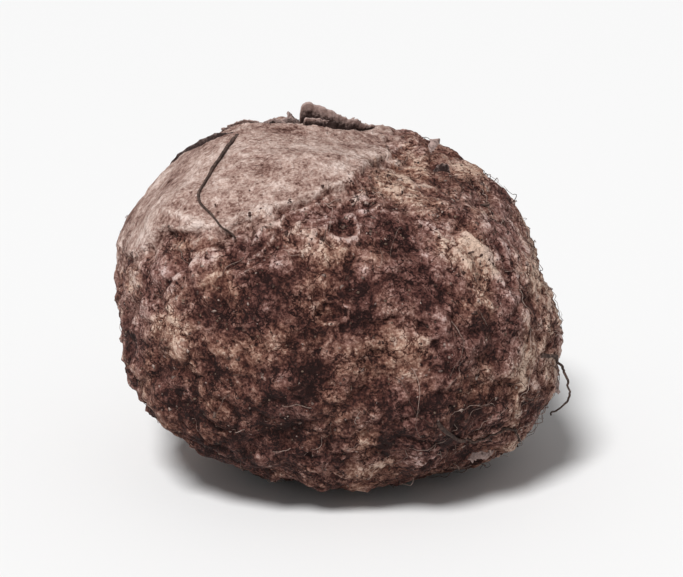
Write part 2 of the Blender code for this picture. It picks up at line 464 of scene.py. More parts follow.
def cubeSphere(count):
    # six square grids pushed out onto the unit sphere, tan-spaced so that the cells are even,
    # with the shared borders welded; the six squares lie side by side on the UV map
    steps = np.tan(np.linspace(-pi / 4, pi / 4, count + 1))
    across, up = np.meshgrid(steps, steps, indexing="ij")
    sides = np.zeros((6, count + 1, count + 1, 3))
    for side, (axis, sign) in enumerate(itertools.product(range(3), (1, -1))):
        sides[side, ..., axis] = sign
        sides[side, ..., (axis + 1) % 3] = across * sign
        sides[side, ..., (axis + 2) % 3] = up
    points = unit(sides.reshape(-1, 3))
    _, first, index = np.unique(
        np.round(points, 7), axis=0, return_index=True, return_inverse=True
    )
    corner = np.arange(len(points)).reshape(6, count + 1, count + 1)
    quads = [corner[:, :-1, :-1], corner[:, 1:, :-1], corner[:, 1:, 1:], corner[:, :-1, 1:]]
    quads = np.stack(quads, -1).reshape(-1, 4)
    grid = np.linspace(0.01, 0.99, count + 1)
    u, v = np.meshgrid(grid, grid, indexing="ij")
    columns, rows = np.arange(6) % 3, np.arange(6) // 3
    u = (u[None] + columns[:, None, None]) / 3
    v = (v[None] + rows[:, None, None]) / 2
    uvs = np.stack([u.ravel(), v.ravel()], 1)[quads.ravel()]
    return points[first], index.reshape(-1)[quads], uvs


# ---- node helpers


def put(tree, kind, settings=None, inputs=None):
    # one node, with its settings, and with a value or a link for each input named or numbered
    made = tree.nodes.new("ShaderNode" + kind)
    for key, value in (settings or {}).items():
        setattr(made, key, value)
    for key, value in (inputs or {}).items():
        if isinstance(value, bpy.types.NodeSocket):
            tree.links.new(value, made.inputs[key])
        else:
            made.inputs[key].default_value = value
    return made


def maths(tree, operation, a, b=0.0, c=0.0):
    return put(tree, "Math", {"operation": operation}, {0: a, 1: b, 2: c}).outputs[0]


def mixColour(tree, share, a, b, kind="MIX"):
    settings = {"data_type": "RGBA", "blend_type": kind, "clamp_factor": True}
    return put(tree, "Mix", settings, {0: share, 6: a, 7: b}).outputs[2]


def ramp(tree, value, low, high, toLow=0.0, toHigh=1.0):  # a smooth step
    settings = {"interpolation_type": "SMOOTHSTEP"}
    inputs = {"Value": value, "From Min": low, "From Max": high}
    inputs.update({"To Min": toLow, "To Max": toHigh})
    return put(tree, "MapRange", settings, inputs).outputs["Result"]


def noiseAt(tree, place, size, detail=3.0, roughness=0.6):
    inputs = {"Vector": place, "Scale": 1 / size, "Detail": detail, "Roughness": roughness}
    return put(tree, "TexNoise", {"noise_dimensions": "3D"}, inputs).outputs[0]


def attribute(tree, name):
    return put(tree, "Attribute", {"attribute_name": name}).outputs["Fac"]


def newGroup(name, inputs, outputs):
    group = bpy.data.node_groups.new(name, "ShaderNodeTree")
    for socket, kind in inputs:
        group.interface.new_socket(socket, in_out="INPUT", socket_type=kind)
    for socket, kind in outputs:
        group.interface.new_socket(socket, in_out="OUTPUT", socket_type=kind)
    return group, group.nodes.new("NodeGroupInput"), group.nodes.new("NodeGroupOutput")


weatherAndShade = {
    "base": 0.56,
    # relief: share of painted shade in the hollows and painted highlight on the raised bits
    "relief": 0.30,
    "tintAndShade": 0.16,
    "grain": (  # size, share of the tone, share of the height
        (0.017, 1.15, 0.0), (0.0070, 0.80, 0.3), (0.0024, 0.95, 1.3), (0.0008, 1.15, 0.9)),
    "flecks": ((700.0, 0.12), (1900.0, 0.14)),  # cells per metre, share
    "fleckLift": 0.25,
    "patches": (  # size, where the noise starts and ends a patch, share, height
        (0.016, 0.53, 0.57, 0.12, 0.35), (0.0060, 0.56, 0.59, 0.12, 0.28)),
    # cracks and pores darken the tone: painted shade in them
    "cracks": ((0.0100, 0.014, 0.40), (0.0042, 0.016, 0.26)),  # size, width, share
    "crackDepth": 1.6,  # for each share
    "pores": ((380.0, 0.26, 0.28), (900.0, 0.30, 0.14)),  # cells per metre, reach, share
    "poreDepth": 1.4,
}


def makeFlecks():
    # small angular patches, each with its own value about zero, from cells on bent coordinates
    group, given, out = newGroup(
        "flecks",
        [("Place", "NodeSocketVector"), ("Cells per metre", "NodeSocketFloat")],
        [("Value", "NodeSocketFloat")],
    )
    place, density = given.outputs["Place"], given.outputs["Cells per metre"]
    bend = put(group, "TexNoise", None, {"Vector": place, "Scale": density, "Detail": 2.0})
    bend = put(group, "VectorMath", {"operation": "SUBTRACT"}, {0: bend.outputs[1], 1: (0.5,) * 3})
    bent = put(
        group, "VectorMath", {"operation": "MULTIPLY_ADD"},
        {0: bend.outputs[0], 1: (0.0022,) * 3, 2: place},
    )
    cells = put(group, "TexVoronoi", None, {"Vector": bent.outputs[0], "Scale": density})
    own = put(group, "SeparateColor", None, {0: cells.outputs["Color"]})
    group.links.new(maths(group, "SUBTRACT", own.outputs[0], 0.5), out.inputs["Value"])
    return group


def makeWeatheringAndShade():
    # one number for how light the skin is: noise at four sizes and flecks are added, the relief
    # adds painted shade in the hollows and painted highlight on the raised bits, the tint adds
    # paler and darker places and painted shade low down, pale scurf patches with sharp edges are
    # laid on, and thin cracks and pores are taken off as painted shade in them; a height comes
    # from the same shapes
    group, given, out = newGroup(
        "weatheringAndShade",
        [("Place", "NodeSocketVector"), ("ReliefShade", "NodeSocketFloat"),
         ("Tint", "NodeSocketFloat"), ("Crust", "NodeSocketFloat")],
        [("Tone", "NodeSocketFloat"), ("Height", "NodeSocketFloat")],
    )
    place, crust = given.outputs["Place"], given.outputs["Crust"]
    # the fine relief paints shade into the hollows and highlight onto the raised bits
    tone = maths(group, "MULTIPLY_ADD", given.outputs["ReliefShade"], weatherAndShade["relief"], weatherAndShade["base"])
    tone = maths(group, "MULTIPLY_ADD", given.outputs["Tint"], weatherAndShade["tintAndShade"], tone)
    height = 0.0
    for size, share, lift in weatherAndShade["grain"]:
        value = maths(group, "SUBTRACT", noiseAt(group, place, size, 2.5, 0.62), 0.5)
        tone = maths(group, "MULTIPLY_ADD", value, share, tone)
        height = maths(group, "MULTIPLY_ADD", value, lift, height)
    for density, share in weatherAndShade["flecks"]:
        value = useGroup(group, flecks, {"Place": place, "Cells per metre": density}).outputs[0]
        tone = maths(group, "MULTIPLY_ADD", value, share, tone)
        height = maths(group, "MULTIPLY_ADD", value, weatherAndShade["fleckLift"], height)
    for size, low, high, share, lift in weatherAndShade["patches"]:
        patch = ramp(group, noiseAt(group, place, size, 5.0, 0.68), low, high)
        patch = maths(group, "MULTIPLY", patch, crust)
        tone = maths(group, "MULTIPLY_ADD", patch, share, tone)
        height = maths(group, "MULTIPLY_ADD", patch, lift, height)
    for size, width, share in weatherAndShade["cracks"]:
        # a crack runs where slow noise passes through its middle value; its darkening is painted shade
        # in the crack
        offset = maths(group, "SUBTRACT", noiseAt(group, place, size, 4.0, 0.6), 0.5)
        line = ramp(group, maths(group, "ABSOLUTE", offset), width, 0.0)
        line = maths(group, "MULTIPLY", line, maths(group, "MULTIPLY_ADD", crust, 0.75, 0.25))
        tone = maths(group, "MULTIPLY_ADD", line, -share, tone)
        height = maths(group, "MULTIPLY_ADD", line, -weatherAndShade["crackDepth"] * share, height)
    # each pore is a dark spot: painted shade in the pore
    for density, reach, share in weatherAndShade["pores"]:
        spots = put(group, "TexVoronoi", None, {"Vector": place, "Scale": density})
        own = put(group, "SeparateColor", None, {0: spots.outputs["Color"]}).outputs[0]
        pore = ramp(group, spots.outputs["Distance"], reach, reach * 0.4)
        pore = maths(group, "MULTIPLY", pore, ramp(group, own, 0.35, 0.75))
        tone = maths(group, "MULTIPLY_ADD", pore, -share, tone)
        height = maths(group, "MULTIPLY_ADD", pore, -weatherAndShade["poreDepth"] * share, height)
    group.links.new(tone, out.inputs["Tone"])
    group.links.new(height, out.inputs["Height"])
    return group


def useGroup(tree, group, inputs):
    return put(tree, "Group", {"node_tree": group}, inputs)


def colourScale(tree, value, colours):  # evenly spaced colours from 0 to 1
    scale = put(tree, "ValToRGB", None, {0: value})
    elements = scale.color_ramp.elements
    elements[0].color, elements[1].color = colours[0], colours[-1]
    for number, colour in enumerate(colours[1:-1], start=1):
        elements.new(number / (len(colours) - 1)).color = colour
    return scale.outputs[0]


flecks = makeFlecks()
weatheringAndShade = makeWeatheringAndShade()


def newMaterial(name, roughness, specular):
    material = bpy.data.materials.new(name)
    material.use_nodes = True
    tree = material.node_tree
    shader = tree.nodes["Principled BSDF"]
    shader.inputs["Roughness"].default_value = roughness
    shader.inputs["Specular IOR Level"].default_value = specular
    place = put(tree, "TexCoord").outputs["Object"]
    return material, tree, shader, place


# ---- materials

skinFinish = {
    "bark": (  # dark brown, which painted shade low down and in hollows reaches, up to pale scurf
        (0.017, 0.004, 0.003, 1), (0.072, 0.024, 0.018, 1), (0.182, 0.086, 0.067, 1),
        (0.360, 0.218, 0.180, 1), (0.630, 0.470, 0.415, 1),
    ),
    "bare": (  # pinkish tan
        (0.060, 0.022, 0.016, 1), (0.185, 0.096, 0.076, 1), (0.370, 0.240, 0.200, 1),
        (0.550, 0.400, 0.345, 1), (0.760, 0.610, 0.550, 1),
    ),
    "ochre": (1.06, 1.03, 0.92, 1),  # multiplies the bark's colour in some places
    "purple": (1.01, 0.985, 1.035, 1),  # and in others
    "hueSize": 0.016,
    "scarLift": 0.32,  # how much paler a root scar is
    "wornSize": 0.0022,  # of the gaps in that pale colour
    "ragged": (0.0030, 2.2),  # size and strength of the bare skin's uneven edge
    "roughness": (0.80, 0.97),  # of the darkest and the palest skin
    "specular": 0.22,
    "bump": (0.9, 0.0006),  # strength, distance
}


def makeSkinMaterial():
    # the skin's lightness, with its painted shade and highlight, picks a colour from the bark's
    # scale and one from the bare crown skin's, and the mask of the bare skin picks between them;
    # root scars are paler, and the bark drifts between purple and ochre
    finish = skinFinish
    rough, smooth = max(finish["roughness"]), min(finish["roughness"])
    material, tree, shader, place = newMaterial("corm skin", rough, finish["specular"])
    bare = attribute(tree, "bare")
    crust = maths(tree, "MULTIPLY_ADD", bare, -0.8, 1.0)
    inputs = {"Place": place, "ReliefShade": attribute(tree, "relief"), "Crust": crust,
              "Tint": attribute(tree, "tintAndShade")}
    skinTone = useGroup(tree, weatheringAndShade, inputs).outputs
    worn = ramp(tree, noiseAt(tree, place, finish["wornSize"], 3.0, 0.7), 0.38, 0.60, 0.15, 1.0)
    worn = maths(tree, "MULTIPLY", worn, attribute(tree, "ring"))
    tone = maths(tree, "MULTIPLY_ADD", worn, finish["scarLift"], skinTone["Tone"])
    bark = colourScale(tree, tone, finish["bark"])
    hue = ramp(tree, noiseAt(tree, place, finish["hueSize"], 3.0, 0.6), 0.35, 0.65)
    hue = mixColour(tree, hue, finish["purple"], finish["ochre"])
    bark = mixColour(tree, 1.0, bark, hue, "MULTIPLY")
    bareSkin = colourScale(tree, tone, finish["bare"])
    size, strength = finish["ragged"]
    ragged = maths(tree, "SUBTRACT", noiseAt(tree, place, size, 4.0, 0.7), 0.5)
    ragged = maths(tree, "MULTIPLY_ADD", ragged, strength, bare)
    colour = mixColour(tree, ramp(tree, ragged, 0.15, 0.85), bark, bareSkin)
    tree.links.new(colour, shader.inputs["Base Color"])
    tree.links.new(ramp(tree, tone, 0.2, 0.8, smooth, rough), shader.inputs["Roughness"])
    strength, distance = finish["bump"]
    bump = put(tree, "Bump", None, {
        "Strength": strength, "Distance": distance, "Height": skinTone["Height"]})
    tree.links.new(bump.outputs[0], shader.inputs["Normal"])
    return material


drySurface = {
    "specular": 0.25, "toneShare": 0.75, "blotchShare": 1.3,
    "fine": 0.3, "bump": (0.8, 0.22),  # of the grain's size; strength, distance of the grain's size
}


def makeDryMaterial(name, dark, pale, size, roughness):
    # dry plant matter: two colours by each item's own tone and by noise, with a grainy bump
    material, tree, shader, place = newMaterial(name, roughness, drySurface["specular"])
    blotch = maths(tree, "SUBTRACT", noiseAt(tree, place, size, 4.0, 0.65), 0.5)
    tone = maths(tree, "ADD", maths(tree, "MULTIPLY", attribute(tree, "tone"), drySurface["toneShare"]),
                 maths(tree, "MULTIPLY", blotch, drySurface["blotchShare"]))
    colour = mixColour(tree, ramp(tree, tone, 0.05, 0.80), dark, pale)
    tree.links.new(colour, shader.inputs["Base Color"])
    fine = noiseAt(tree, place, size * drySurface["fine"], 3.0)
    strength, distance = drySurface["bump"]
    bump = put(tree, "Bump", None, {
        "Strength": strength, "Distance": size * distance, "Height": fine})
    tree.links.new(bump.outputs[0], shader.inputs["Normal"])
    return material


dryFinishes = {  # dark colour, pale colour, size of the grain, roughness
    "scurf flakes": ((0.06, 0.028, 0.022, 1), (0.44, 0.325, 0.28, 1), 0.0011, 0.9),
    "root hairs": ((0.08, 0.042, 0.033, 1), (0.40, 0.29, 0.245, 1), 0.0015, 0.8),
    "dried rootlet": ((0.030, 0.017, 0.014, 1), (0.20, 0.13, 0.105, 1), 0.0012, 0.8),
    "old leaf scale": ((0.028, 0.014, 0.012, 1), (0.42, 0.305, 0.275, 1), 0.0010, 0.85),
    "dry soil": ((0.035, 0.020, 0.015, 1), (0.20, 0.135, 0.10, 1), 0.0010, 1.0),
}
skinMaterial = makeSkinMaterial()
dry = {name: makeDryMaterial(name, *finish) for name, finish in dryFinishes.items()}
print("materials ready")


# ---- the corm's skin

cormSkin = {"cells": 126, "worn": 0.8, "tintsAndShade": (
    # where the bark is paler or darker: azimuth, elevation, angular width, amount; the darkening low
    # down (elevations -28 to -42) is painted shade under the body
    (-62, 14, 0.50, 0.9), (56, 30, 0.40, 0.9), (88, 0, 0.40, 0.5), (10, 47, 0.22, 0.8),
    (22, 40, 0.16, -1.0), (-30, 20, 0.20, -0.6), (0, 22, 0.26, -0.3), (4, -28, 0.46, -2.3),
    (-40, -40, 0.40, -1.0), (50, -38, 0.35, -0.8), (-150, 5, 0.6, 0.5), (140, 10, 0.5, 0.4),
    (180, -42, 0.5, -0.7), (31, 32, 0.06, 1.2), (44, 26, 0.08, 0.8), (14, 58, 0.22, 0.5),
    (68, 52, 0.26, 1.5), (46, 60, 0.20, 0.6),
)}


def makeCormSkin():
    directions, quads, uvs = cubeSphere(cormSkin["cells"])
    shape = skin(directions, scars)
    points = directions * shape["radius"][:, None] + middle
    points[:, 2] = np.maximum(points[:, 2], 0)
    # paler and darker places on the bark, with painted shade darkening it low down
    tintAndShade = sum(a * near(directions, az, el, w) for az, el, w, a in cormSkin["tintsAndShade"])
    tintAndShade = tintAndShade + cormSkin["worn"] * blend(0.018, 0.002, shape["edge"]) * (1 - shape["bare"])
    masks = {key: shape[key] for key in ("bare", "relief", "ring")}
    masks["tintAndShade"] = np.clip(tintAndShade, -1, 1)
    piece = addPiece("corm_skin", points, [quads], skinMaterial, uvs, masks)
    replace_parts(piece, "corm")
    normals = np.zeros(len(points) * 3, np.float32)
    piece.data.vertices.foreach_get("normal", normals)
    return directions, points, normals.reshape(-1, 3).astype(float), shape, tintAndShade


skinDirections, skinPoints, skinNormals, skinShape, skinTintAndShade = makeCormSkin()
print(f"corm skin: {len(skinPoints)} points, box {skinPoints.min(0)} {skinPoints.max(0)}")


# ---- small things strewn on the skin


clearOfFloor = 0.00002
lowestGrowth = 0.004  # nothing is strewn on the skin below this height


def cellUvs(count, localUv, margin=0.06):  # each item's own cell of a square grid of cells
    side = int(np.ceil(np.sqrt(count)))
    item = np.arange(count)
    corner = np.stack([item % side, item // side], 1)[:, None, :]
    return ((corner + margin + (1 - 2 * margin) * localUv) / side).reshape(-1, 2)


def strew(template, faces, chosen, sizes, kind, draw):
    # copies of a template on chosen skin points: (count, points, 3), each with its own size,
    # turn, tilt and uneven outline
    count = len(chosen)
    normals = unit(skinNormals[chosen] + draw.normal(0, kind["tilt"], (count, 3)))
    across, along = frames(normals, draw.uniform(0, 2 * pi, count))
    local = template[None] * (1 + draw.normal(0, kind["uneven"], (count, len(template), 1)))
    local = local * sizes[:, None, None] * np.array(kind["stretch"])
    places = skinPoints[chosen] - skinNormals[chosen] * kind["sink"] * sizes[:, None]
    points = local[..., :1] * across[:, None] + local[..., 1:2] * along[:, None]
    points = points + local[..., 2:] * normals[:, None] + places[:, None]
    points[..., 2] = np.maximum(points[..., 2], clearOfFloor)
    allFaces = faces[None] + (np.arange(count) * len(template))[:, None, None]
    return points.reshape(-1, 3), allFaces.reshape(-1, faces.shape[1])


def choose(count, weight, draw):  # skin points clear of the floor, likelier where weight is high
    high = skinPoints[:, 2] > lowestGrowth
    share = np.clip(weight, 0, None) * high
    return draw.choice(len(skinPoints), count, replace=False, p=share / share.sum())


def lens(corners):  # a thin closed disc: two middles and a rim
    turn = np.arange(corners) * 2 * pi / corners
    rim = np.stack([np.cos(turn), np.sin(turn), 0 * turn], 1)
    points = np.vstack([[[0, 0, 1.0]], [[0, 0, -1.0]], rim])
    a = np.arange(corners) + 2
    b = np.roll(a, -1)
    faces = np.vstack([np.stack([a, b, 0 * a], 1), np.stack([b, a, 0 * a + 1], 1)])
    flat = points[:, :2] / 2 * 0.96 + 0.5
    half = np.where(np.arange(2 * corners)[:, None, None] < corners, (0.0, 0.0), (0.5, 0.0))
    local = flat[faces] * (0.48, 0.96) + half
    return points, faces, local.reshape(-1, 2)


flakes = {"count": 3000, "radius": (0.0003, 0.0008), "stretch": (1.0, 0.72, 0.06),
          "tilt": 0.16, "sink": 0.03, "uneven": 0.26}


def makeFlakes():
    draw = np.random.default_rng(31)
    bark = 1 - skinShape["bare"]
    weight = bark * (0.35 + np.clip(skinShape["relief"], 0, 1) + 0.5 * np.clip(skinTintAndShade, 0, 1))
    chosen = choose(flakes["count"], weight + 0.10, draw)
    low, high = flakes["radius"]
    sizes = low + (high - low) * draw.random(len(chosen)) ** 2.2
    template, faces, local = lens(7)
    points, allFaces = strew(template, faces, chosen, sizes, flakes, draw)
    tone = np.repeat(draw.random(len(chosen)) ** 2.2, len(template))
    uvs = cellUvs(len(chosen), local[None])
    addPiece("scurf_flakes", points, [allFaces], dry["scurf flakes"], uvs, {"tone": tone})


soil = {"count": 800, "radius": (0.00016, 0.00050), "stretch": (1, 0.8, 0.7),
        "tilt": 0.3, "sink": 0.1, "uneven": 0.2}


def makeSoil():
    # uneven twenty-sided crumbs, caught where the skin is low
    draw = np.random.default_rng(32)
    golden = (1 + 5**0.5) / 2
    template = unit(np.array([
        (-1, golden, 0), (1, golden, 0), (-1, -golden, 0), (1, -golden, 0), (0, -1, golden),
        (0, 1, golden), (0, -1, -golden), (0, 1, -golden), (golden, 0, -1), (golden, 0, 1),
        (-golden, 0, -1), (-golden, 0, 1)], float))
    faces = np.array([
        (0, 11, 5), (0, 5, 1), (0, 1, 7), (0, 7, 10), (0, 10, 11), (1, 5, 9), (5, 11, 4),
        (11, 10, 2), (10, 7, 6), (7, 1, 8), (3, 9, 4), (3, 4, 2), (3, 2, 6), (3, 6, 8),
        (3, 8, 9), (4, 9, 5), (2, 4, 11), (6, 2, 10), (8, 6, 7), (9, 8, 1)])
    hollow = np.clip(-skinShape["relief"], 0, 1)
    crownHollow = bell(crownRun(skinDirections) - 0.008, 0.006)
    bark = 1 - 0.97 * skinShape["bare"]
    chosen = choose(soil["count"], bark * hollow**2 + crownHollow, draw)
    sizes = draw.uniform(*soil["radius"], len(chosen))
    points, allFaces = strew(template, faces, chosen, sizes, soil, draw)
    tone = np.repeat(draw.random(len(chosen)), len(template))
    column, row = np.arange(20) % 5, np.arange(20) // 5
    triangle = np.array([(0.05, 0.05), (0.95, 0.05), (0.5, 0.95)])
    local = (triangle[None] + np.stack([column, row], 1)[:, None]) / (5, 4)
    uvs = cellUvs(len(chosen), local.reshape(1, -1, 2))
    addPiece("soil_crumbs", points, [allFaces], dry["dry soil"], uvs, {"tone": tone})


makeFlakes()
makeSoil()
print("flakes and soil on")


# ---- tubes: root hairs, stubs and rootlets


def tubes(paths, radii, sides):
    # each path (count, steps, 3) becomes a closed tube: a ring of points round every step, and
    # one point in the middle of each end
    count, steps, _ = paths.shape
    along = unit(np.gradient(paths, axis=1))
    outward = unit(paths - middle)
    side = unit(np.cross(along, outward))
    up = np.cross(side, along)
    turn = np.arange(sides) * 2 * pi / sides
    ring = np.cos(turn)[:, None] * side[:, :, None] + np.sin(turn)[:, None] * up[:, :, None]
    rings = paths[:, :, None] + ring * radii[:, :, None, None]
    ends = paths[:, [0, -1]]
    points = np.concatenate([rings.reshape(count, -1, 3), ends], 1)
    step, corner = np.meshgrid(np.arange(steps - 1), np.arange(sides), indexing="ij")
    step, corner = step.ravel(), corner.ravel()
    follow = (corner + 1) % sides
    a, b = step * sides + corner, step * sides + follow
    quads = np.stack([a, a + sides, b + sides, b], 1)
    first, last = steps * sides, steps * sides + 1
    k = np.arange(sides)
    after = (k + 1) % sides
    base = (steps - 1) * sides
    caps = np.vstack([np.stack([k, after, 0 * k + first], 1),
                      np.stack([base + after, base + k, 0 * k + last], 1)])
    u0, u1 = 0.06 + 0.88 * step / (steps - 1), 0.06 + 0.88 * (step + 1) / (steps - 1)
    v0, v1 = corner / sides, (corner + 1) / sides
    quadUv = np.stack([np.stack([u0, v0], 1), np.stack([u1, v0], 1),
                       np.stack([u1, v1], 1), np.stack([u0, v1], 1)], 1)
    low, high, half = k / sides, (k + 1) / sides, (k + 0.5) / sides
    startUv = np.stack([np.stack([0 * k + 0.05, low], 1), np.stack([0 * k + 0.05, high], 1),
                        np.stack([0 * k + 0.0, half], 1)], 1)
    endUv = np.stack([np.stack([0 * k + 0.95, high], 1), np.stack([0 * k + 0.95, low], 1),
                      np.stack([0 * k + 1.0, half], 1)], 1)
    capUv = np.concatenate([startUv, endUv])
    offset = (np.arange(count) * points.shape[1])[:, None, None]
    uvs = np.concatenate([
        cellUvs(count, part.reshape(1, -1, 2), 0.05) for part in (quadUv, capUv)])
    groups = [(quads + offset).reshape(-1, 4), (caps + offset).reshape(-1, 3)]
    return points.reshape(-1, 3), groups, uvs


def walk(starts, headings, lengths, curls, steps, wander, draw):
    # paths over the unit sphere: from each start along its heading, bending by its curl, with a
    # wander of two slow sines; returns directions (count, steps, 3)
    t = np.linspace(0, 1, steps)[None]
    across, along = frames(starts, headings)
    run = lengths[:, None] * t / body["reach"]
    phase = draw.uniform(0, 2 * pi, (2, len(starts), 1))
    sway = wander * (np.sin(5 * t + phase[0]) + 0.5 * np.sin(11 * t + phase[1]))
    aside = run * (curls[:, None] * t + sway)
    path = starts[:, None] + run[..., None] * along[:, None] + aside[..., None] * across[:, None]
    return unit(path)


hairs = {"count": 240, "length": (0.002, 0.009), "radius": (0.00007, 0.00015), "arch": 0.0016,
         "tipLift": 0.0012, "over": 0.00008, "wander": 0.16, "steps": 11, "sides": 3}


def makeHairs():
    draw = np.random.default_rng(33)
    count, steps, sides = hairs["count"], hairs["steps"], hairs["sides"]
    weight = (1 - skinShape["bare"]) * (0.15 + skinShape["fibre"]) + 0.01
    weight = weight * (1 + 1.5 * near(skinDirections, 60, -30, 0.5))
    weight = weight * (1 + 1.5 * near(skinDirections, -55, -25, 0.4))
    starts = skinDirections[choose(count, weight, draw)]
    lengths = draw.uniform(*hairs["length"], count)
    headings = draw.uniform(0, 2 * pi, count)
    curls = draw.normal(0, 0.9, count)
    paths = walk(starts, headings, lengths, curls, steps, hairs["wander"], draw)
    t = np.linspace(0, 1, steps)
    lift = draw.uniform(0.0, hairs["arch"], (count, 1)) * np.sin(pi * t) ** 2
    tipLift = draw.uniform(0, hairs["tipLift"], (count, 1)) * t**3
    points = onSkin(paths, lift + tipLift + hairs["over"])
    radii = draw.uniform(*hairs["radius"], (count, 1)) * (1 - 0.65 * t**2)
    meshPoints, faces, uvs = tubes(points, radii, sides)
    meshPoints[:, 2] = np.maximum(meshPoints[:, 2], clearOfFloor)
    tone = np.repeat(draw.random(count), steps * sides + 2)
    addPiece("root_hairs", meshPoints, faces, dry["root hairs"], uvs, {"tone": tone})


stubs = {"length": (0.0005, 0.0013), "radius": (0.0003, 0.0005), "root": 0.0006, "share": 0.30,
         "sides": 7, "steps": 5}


def makeStubs():
    # short broken root ends, standing in the middle of some of the scars
    draw = np.random.default_rng(34)
    ripe = [scar for scar in scars if scar[1] > 0.0021]
    share, lowest = stubs["share"], -0.7
    picked = np.array([scar[0] for scar in ripe if draw.random() < share and scar[0][2] > lowest])
    starts = picked[edgeRun(picked, picked * body["reach"]) > 0.005]
    count, steps, sides = len(starts), stubs["steps"], stubs["sides"]
    t = np.linspace(0, 1, steps)[None]
    lean = draw.normal(0, 0.5, (count, 1, 3))
    length = draw.uniform(*stubs["length"], (count, 1))
    root = onSkin(starts, np.full(count, -stubs["root"]))
    rise = (length * t + stubs["root"] * t)[..., None]
    paths = root[:, None] + (starts[:, None] + lean * t[..., None]) * rise
    radii = draw.uniform(*stubs["radius"], (count, 1)) * (1.15 - 0.35 * t)
    radii = radii * (1 + 0.12 * draw.normal(0, 1, radii.shape))
    points, faces, uvs = tubes(paths, radii, sides)
    points = points + 0.00012 * noiseVector(points, 0.0009, 41)
    tone = np.repeat(draw.random(count) * 0.7, steps * sides + 2)
    addPiece("root_stubs", points, faces, dry["dried rootlet"], uvs, {"tone": tone})


# Each rootlet's route, as on its solid: azimuth, elevation, height over the skin.
lies = 0.0009
rootletRoutes = {
    "rootlet_crown_front": (
        (-87, 61, lies), (-70, 56, lies), (-59, 49, lies), (-52, 42, lies),
        (-50, 40, lies), (-47, 38.5, lies), (-41, 36, lies), (-34, 33, lies),
        (-30, 31, lies),
    ),
    "rootlet_right_hook": (
        (60, -5, lies), (67, -7, lies), (71.5, -10, 0.0018), (73.5, -13, 0.0036),
        (74, -16, 0.0048), (74, -19, 0.0054), (73.5, -21, 0.0046), (73, -24, 0.0032),
    ),
    "rootlet_left_side": (
        (-112, 8, lies), (-107, -3, 0.0014), (-100, -11, 0.0020),
        (-90, -14, 0.0016), (-82, -20, lies),
    ),
    "rootlet_back_long": (
        (152, 36, lies), (161, 27, 0.0018), (173, 22, 0.0026), (-174, 25, 0.0022),
        (-163, 20, 0.0016), (-158, 9, lies), (-165, 0, lies),
    ),
    "rootlet_back_low": (
        (128, 2, lies), (136, -6, 0.0014), (147, -10, 0.0018), (157, -7, lies),
        (166, -13, lies),
    ),
    "rootlet_low_front": (
        (26, -14, lies), (33, -21, lies), (43, -25, 0.0012), (54, -23, lies),
        (61, -29, lies),
    ),
}
rootlets = {"radius": 0.00062, "tip": 0.40, "waver": 0.0006, "root": 0.0006, "settle": 0.0003,
            "steps": 70, "sides": 8}


def smoothRoute(points, steps):  # an evenly spaced Catmull-Rom curve through the route's points
    padded = np.vstack([2 * points[0] - points[1], points, 2 * points[-1] - points[-2]])
    t = np.linspace(0, 1, 24, endpoint=False)[:, None]
    pieces = []
    for a, b, c, d in zip(padded, padded[1:], padded[2:], padded[3:]):
        curve = 2 * b + (c - a) * t + (2 * a - 5 * b + 4 * c - d) * t**2
        pieces.append((curve + (3 * b - a - 3 * c + d) * t**3) / 2)
    fine = np.vstack(pieces + [points[-1:]])
    run = np.append(0, np.cumsum(np.linalg.norm(np.diff(fine, axis=0), axis=1)))
    stations = np.linspace(0, run[-1], steps)
    return np.stack([np.interp(stations, run, axis) for axis in fine.T], 1)


def makeRootlet(name, route, salt):
    # the route over the body, kept on top of the finished skin, wavering, tapering to its tip,
    # with its first few millimetres going down into the skin
    places = np.array(route)
    directions = toward(places[:, 0], places[:, 1])
    radius = bodyRadius(directions) + places[:, 2]
    path = smoothRoute(directions * radius[:, None], rootlets["steps"])
    over = np.linalg.norm(path, axis=1) - bodyRadius(unit(path))
    waver = noiseVector(path, 0.006, salt) * rootlets["waver"]
    direction = unit(path + waver)
    t = np.linspace(0, 1, len(path))
    thick = rootlets["radius"] * (1 - (1 - rootlets["tip"]) * t**0.7)
    thick = thick * (1 + 0.16 * noise(path, 0.0022, salt + 5)) * (1 + 0.5 * bell(t, 0.05))
    over = over - (over[0] + rootlets["root"]) * bell(t, 0.05)
    centre = onSkin(direction, np.maximum(over - rootlets["settle"], -rootlets["root"]))
    points, faces, uvs = tubes(centre[None], thick[None], rootlets["sides"])
    tone = np.full(len(points), 0.35)
    piece = addPiece(name + "_dried", points, faces, dry["dried rootlet"], uvs,
                     {"tone": tone})
    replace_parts(piece, name)


makeHairs()
makeStubs()
for number, (name, route) in enumerate(rootletRoutes.items()):
    makeRootlet(name, route, 60 + 7 * number)
print("hairs, stubs and rootlets on")


# ---- sheets: peeling skin, crown scales


def addSheets(name, grids, tones, cells, thickness):
    # thin sheets from grids of points (rows, columns, 3), each in its own cell of the UV map
    rows, columns = grids[0].shape[:2]
    corner = np.arange(rows * columns).reshape(rows, columns)
    quads = [corner[:-1, :-1], corner[1:, :-1], corner[1:, 1:], corner[:-1, 1:]]
    quads = np.stack(quads, -1).reshape(-1, 4)
    across, up = np.meshgrid(np.linspace(0, 1, columns), np.linspace(0, 1, rows), indexing="xy")
    spot = (np.stack([across, up], -1) * 0.94 + 0.03).reshape(-1, 2)[quads.ravel()]
    numbers = range(len(grids))
    uvs = np.vstack([(spot + (number % cells, number // cells)) / cells for number in numbers])
    faces = [quads + number * rows * columns for number in numbers]
    points = np.vstack([grid.reshape(-1, 3) for grid in grids])
    tone = np.clip(np.concatenate([values.ravel() for values in tones]), 0, 1)
    piece = addPiece(name, points, faces, dry["old leaf scale"], uvs, {"tone": tone})
    solid = piece.modifiers.new("thickness", "SOLIDIFY")
    solid.thickness = thickness
    solid.offset = 0
    return piece


